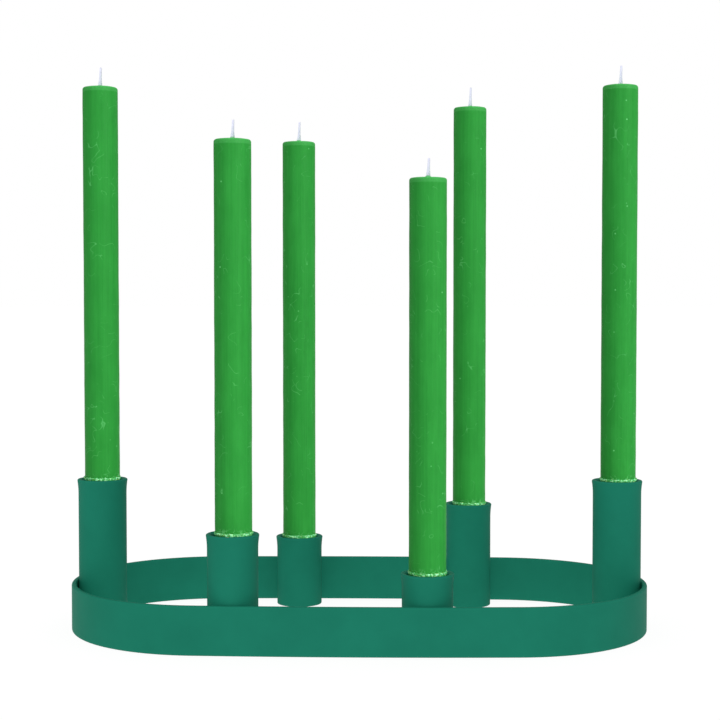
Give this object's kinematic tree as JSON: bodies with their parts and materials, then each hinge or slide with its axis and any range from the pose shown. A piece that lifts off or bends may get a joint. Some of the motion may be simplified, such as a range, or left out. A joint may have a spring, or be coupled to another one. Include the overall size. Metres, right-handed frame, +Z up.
{
  "type": "candle holder",
  "caption": "Oval metal band standing on edge, with upright tube sockets of three heights inside it, each holding a straight dinner candle that lifts out.",
  "frame": {"origin": "middle of the oval ring, on the surface that it stands on", "axes": "+X along the ring's length, +Y across it towards the back, +Z up along the candles"},
  "size_m": [0.36, 0.18, 0.3505],
  "materials": {
    "powder_coat": "matte",
    "green_wax": "satin",
    "cotton_wick": "matte"
  },
  "bodies": {
    "holder": {"band": "powder_coat", "band_seam_weld": "powder_coat", "socket_left_end": "powder_coat", "socket_floor_left_end": "powder_coat", "socket_welds_left_end": "powder_coat", "socket_right_end": "powder_coat", "socket_floor_right_end": "powder_coat", "socket_welds_right_end": "powder_coat", "socket_front_left": "powder_coat", "socket_floor_front_left": "powder_coat", "socket_welds_front_left": "powder_coat", "socket_front_right": "powder_coat", "socket_floor_front_right": "powder_coat", "socket_welds_front_right": "powder_coat", "socket_rear_left": "powder_coat", "socket_floor_rear_left": "powder_coat", "socket_welds_rear_left": "powder_coat", "socket_rear_right": "powder_coat", "socket_floor_rear_right": "powder_coat", "socket_welds_rear_right": "powder_coat"},
    "candle_left_end": {"candle_left_end": "green_wax", "wick_left_end": "cotton_wick"},
    "candle_right_end": {"candle_right_end": "green_wax", "wick_right_end": "cotton_wick"},
    "candle_front_left": {"candle_front_left": "green_wax", "wick_front_left": "cotton_wick"},
    "candle_front_right": {"candle_front_right": "green_wax", "wick_front_right": "cotton_wick"},
    "candle_rear_left": {"candle_rear_left": "green_wax", "wick_rear_left": "cotton_wick"},
    "candle_rear_right": {"candle_rear_right": "green_wax", "wick_rear_right": "cotton_wick"}
  },
  "joints": [
    {"name": "lift_candle_left_end", "type": "slide", "parent": "holder", "child": "candle_left_end", "axis": [0, 0, 1], "range_m": [0, 0.04]},
    {"name": "lift_candle_right_end", "type": "slide", "parent": "holder", "child": "candle_right_end", "axis": [0, 0, 1], "range_m": [0, 0.04]},
    {"name": "lift_candle_front_left", "type": "slide", "parent": "holder", "child": "candle_front_left", "axis": [0, 0, 1], "range_m": [0, 0.04]},
    {"name": "lift_candle_front_right", "type": "slide", "parent": "holder", "child": "candle_front_right", "axis": [0, 0, 1], "range_m": [0, 0.04]},
    {"name": "lift_candle_rear_left", "type": "slide", "parent": "holder", "child": "candle_rear_left", "axis": [0, 0, 1], "range_m": [0, 0.04]},
    {"name": "lift_candle_rear_right", "type": "slide", "parent": "holder", "child": "candle_rear_right", "axis": [0, 0, 1], "range_m": [0, 0.04]}
  ]
}
